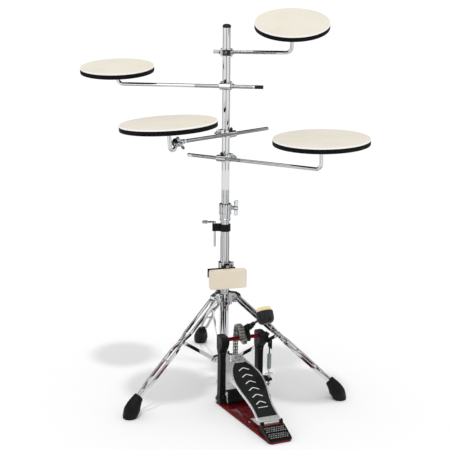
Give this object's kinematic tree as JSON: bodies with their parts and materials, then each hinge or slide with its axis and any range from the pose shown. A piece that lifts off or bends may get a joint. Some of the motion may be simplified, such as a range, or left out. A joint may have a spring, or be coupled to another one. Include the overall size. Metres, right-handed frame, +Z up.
{
  "type": "multi-pad drum practice stand",
  "caption": "Tripod column with swing-arm practice pads, a kick pad and a chain-drive bass drum pedal clamped to its foot.",
  "frame": {"origin": "on the floor under the column axis, on the underside of the pedal plate", "axes": "+Z up the column, -Y towards the player, +X to the player's right"},
  "size_m": [0.7766, 0.7473, 1.0844],
  "materials": {
    "chrome": "bright chrome plate on steel tube and strip",
    "knurled_chrome": "knurled chrome on the pad arms",
    "black_rubber": "moulded black rubber",
    "black_plastic": "black nylon",
    "black_cast": "black powder coat on cast aluminium",
    "pad_board": "black painted board with a rubber edge",
    "pad_skin": "cream coated playing surface",
    "kick_foam": "dense cream foam rubber",
    "red_plate": "red painted steel",
    "red_shaft": "red anodised shaft",
    "sprocket_steel": "satin cast steel",
    "chain_steel": "roller chain steel",
    "rod_steel": "dark beater rod",
    "beater_black": "black moulded beater shell",
    "felt": "cream felt",
    "spring_steel": "grey-green spring",
    "footboard_cast": "polished cast aluminium"
  },
  "bodies": {
    "stand": {"lower_tube": "chrome", "height_clamp": "chrome", "height_clamp_bush": "black_plastic", "key_clip": "black_plastic", "drum_key": "chrome", "lower_hub": "chrome", "pedal_plate": "chrome", "base_plate": "red_plate", "heel_plate": "black_cast", "left_post": "black_cast", "right_post": "black_cast", "toe_bridge": "black_cast", "spring_rod": "chrome"},
    "mast": {"upper_tube": "chrome", "tube_cap": "black_plastic"},
    "height_wing": {"height_wing_bolt": "chrome"},
    "tripod_hub": {"upper_hub": "chrome"},
    "left_leg_set": {"left_leg": "chrome", "left_foot": "black_rubber"},
    "left_brace_bar": {"left_brace": "chrome"},
    "right_leg_set": {"right_leg": "chrome", "right_foot": "black_rubber"},
    "right_brace_bar": {"right_brace": "chrome"},
    "rear_leg_set": {"rear_leg": "chrome", "rear_foot": "black_rubber"},
    "rear_brace_bar": {"rear_brace": "chrome"},
    "kick_set": {"kick_clamp": "chrome", "kick_bracket": "black_cast", "kick_pad": "kick_foam"},
    "top_swing_clamp": {"top_clamp": "chrome"},
    "top_pad_arm": {"top_arm": "knurled_chrome", "top_pad_board": "pad_board", "top_pad_skin": "pad_skin"},
    "left_swing_clamp": {"left_clamp": "chrome"},
    "left_pad_arm": {"left_arm": "knurled_chrome", "left_pad_board": "pad_board", "left_pad_skin": "pad_skin"},
    "floor_swing_clamp": {"floor_clamp": "chrome"},
    "floor_pad_arm": {"floor_arm": "knurled_chrome", "floor_pad_board": "pad_board", "floor_pad_skin": "pad_skin"},
    "snare_swing_clamp": {"snare_clamp": "chrome"},
    "snare_pad_arm": {"snare_arm": "knurled_chrome"},
    "snare_pad_set": {"snare_tilter": "chrome", "snare_pad_board": "pad_board", "snare_pad_skin": "pad_skin"},
    "tilter_wing": {"tilter_wing_nut": "chrome"},
    "jaw": {"hoop_jaw": "black_cast"},
    "jaw_key": {"jaw_screw": "chrome"},
    "shaft": {"rocker_shaft": "red_shaft", "sprocket": "sprocket_steel", "beater_hub": "black_cast", "spring_lever": "black_cast"},
    "beater": {"beater_rod": "rod_steel", "beater_head": "beater_black", "beater_felt": "felt"},
    "spring_swivel": {"spring_rocker": "black_cast", "spring": "spring_steel"},
    "pedal_board": {"footboard": "footboard_cast", "chain_run": "chain_steel"}
  },
  "joints": [
    {"name": "mast_height", "type": "slide", "parent": "stand", "child": "mast", "axis": [0, 0, 1], "range_m": [-0.1, 0.15]},
    {"name": "height_wing_turn", "type": "hinge", "parent": "stand", "child": "height_wing", "pos_m": [0.00595, 0.02222, 0.529], "axis": [0.9659, -0.2588, 0], "range_deg": [-120, 120]},
    {"name": "hub_slide", "type": "slide", "parent": "stand", "child": "tripod_hub", "axis": [0, 0, 1], "range_m": [-0.025, 0.016]},
    {"name": "left_leg_fold", "type": "hinge", "parent": "tripod_hub", "child": "left_leg_set", "pos_m": [-0.02633, -0.02455, 0.272], "axis": [0.682, -0.7314, 0], "range_deg": [-5.5, 3.6]},
    {"name": "right_leg_fold", "type": "hinge", "parent": "tripod_hub", "child": "right_leg_set", "pos_m": [0.03443, -0.01052, 0.272], "axis": [0.2924, 0.9563, 0], "range_deg": [-5.5, 3.6]},
    {"name": "rear_leg_fold", "type": "hinge", "parent": "tripod_hub", "child": "rear_leg_set", "pos_m": [-0.0081, 0.03508, 0.272], "axis": [-0.9744, -0.225, 0], "range_deg": [-5.5, 3.6]},
    {"name": "left_brace_fold", "type": "hinge", "parent": "stand", "child": "left_brace_bar", "pos_m": [-0.02633, -0.02455, 0.085], "axis": [0.682, -0.7314, 0], "range_deg": [-4.1, 6.2]},
    {"name": "right_brace_fold", "type": "hinge", "parent": "stand", "child": "right_brace_bar", "pos_m": [0.03443, -0.01052, 0.085], "axis": [0.2924, 0.9563, 0], "range_deg": [-4.1, 6.2]},
    {"name": "rear_brace_fold", "type": "hinge", "parent": "stand", "child": "rear_brace_bar", "pos_m": [-0.0081, 0.03508, 0.085], "axis": [-0.9744, -0.225, 0], "range_deg": [-4.1, 6.2]},
    {"name": "kick_swivel", "type": "hinge", "parent": "stand", "child": "kick_set", "pos_m": [0, 0, 0.334], "axis": [0, 0, 1], "range_deg": [-8, 12]},
    {"name": "top_swing", "type": "hinge", "parent": "mast", "child": "top_swing_clamp", "pos_m": [0, 0, 0.966], "axis": [0, 0, 1], "range_deg": [-60, 60]},
    {"name": "top_reach", "type": "slide", "parent": "top_swing_clamp", "child": "top_pad_arm", "axis": [0.9976, -0.0698, 0], "range_m": [-0.05, 0.02]},
    {"name": "left_swing", "type": "hinge", "parent": "mast", "child": "left_swing_clamp", "pos_m": [0, 0, 0.876], "axis": [0, 0, 1], "range_deg": [-45, 45]},
    {"name": "left_reach", "type": "slide", "parent": "left_swing_clamp", "child": "left_pad_arm", "axis": [-0.9877, 0.1564, 0], "range_m": [-0.15, 0.085]},
    {"name": "snare_swing", "type": "hinge", "parent": "mast", "child": "snare_swing_clamp", "pos_m": [0, 0, 0.745], "axis": [0, 0, 1], "range_deg": [-30, 30]},
    {"name": "snare_reach", "type": "slide", "parent": "snare_swing_clamp", "child": "snare_pad_arm", "axis": [-0.6691, -0.7431, 0], "range_m": [-0.08, 0.13]},
    {"name": "floor_swing", "type": "hinge", "parent": "mast", "child": "floor_swing_clamp", "pos_m": [0, 0, 0.677], "axis": [0, 0, 1], "range_deg": [-40, 40]},
    {"name": "floor_reach", "type": "slide", "parent": "floor_swing_clamp", "child": "floor_pad_arm", "axis": [0.8572, -0.515, 0], "range_m": [-0.13, 0.09]},
    {"name": "snare_tilt", "type": "hinge", "parent": "snare_pad_arm", "child": "snare_pad_set", "pos_m": [-0.12967, -0.1739, 0.745], "axis": [0.7427, -0.6687, 0.0349], "range_deg": [-12, 40]},
    {"name": "tilter_wing_turn", "type": "hinge", "parent": "snare_pad_arm", "child": "tilter_wing", "pos_m": [-0.12967, -0.1739, 0.745], "axis": [0.7427, -0.6687, 0.0349], "range_deg": [-90, 90]},
    {"name": "footboard_press", "type": "hinge", "parent": "stand", "child": "pedal_board", "pos_m": [0.12553, -0.31705, 0.029], "axis": [-0.9298, -0.3681, 0], "range_deg": [0, 11.6], "deforming": ["chain_run"]},
    {"name": "shaft_rock", "type": "hinge", "parent": "stand", "child": "shaft", "pos_m": [0.05319, -0.13435, 0.195], "axis": [-0.9298, -0.3681, 0], "range_deg": [0, 72], "stiffness_Nm_per_rad": 0.8, "springref_deg": -22.92},
    {"name": "spring_lift", "type": "slide", "parent": "stand", "child": "spring_swivel", "axis": [0, 0, 1], "range_m": [0, 0.025], "deforming": ["spring"]},
    {"name": "beater_height", "type": "slide", "parent": "shaft", "child": "beater", "axis": [0.3122, -0.7885, 0.5299], "range_m": [-0.02, 0.012]},
    {"name": "jaw_tilt", "type": "hinge", "parent": "stand", "child": "jaw", "pos_m": [0.05043, -0.12738, 0.01], "axis": [0.9298, 0.3681, 0], "range_deg": [0, 5]},
    {"name": "jaw_screw_turn", "type": "hinge", "parent": "stand", "child": "jaw_key", "pos_m": [0.10208, -0.12199, 0.01], "axis": [0.9298, 0.3681, 0], "range_deg": [-90, 90]}
  ],
  "couplings": [
    {"joint": "left_leg_fold", "follows": "hub_slide", "rad_per_m": 3.639},
    {"joint": "right_leg_fold", "follows": "hub_slide", "rad_per_m": 3.639},
    {"joint": "rear_leg_fold", "follows": "hub_slide", "rad_per_m": 3.639},
    {"joint": "left_brace_fold", "follows": "hub_slide", "rad_per_m": -4.18},
    {"joint": "right_brace_fold", "follows": "hub_slide", "rad_per_m": -4.18},
    {"joint": "rear_brace_fold", "follows": "hub_slide", "rad_per_m": -4.18},
    {"joint": "shaft_rock", "follows": "footboard_press", "ratio": 6.2},
    {"joint": "spring_lift", "follows": "footboard_press", "m_per_rad": 0.1127}
  ]
}
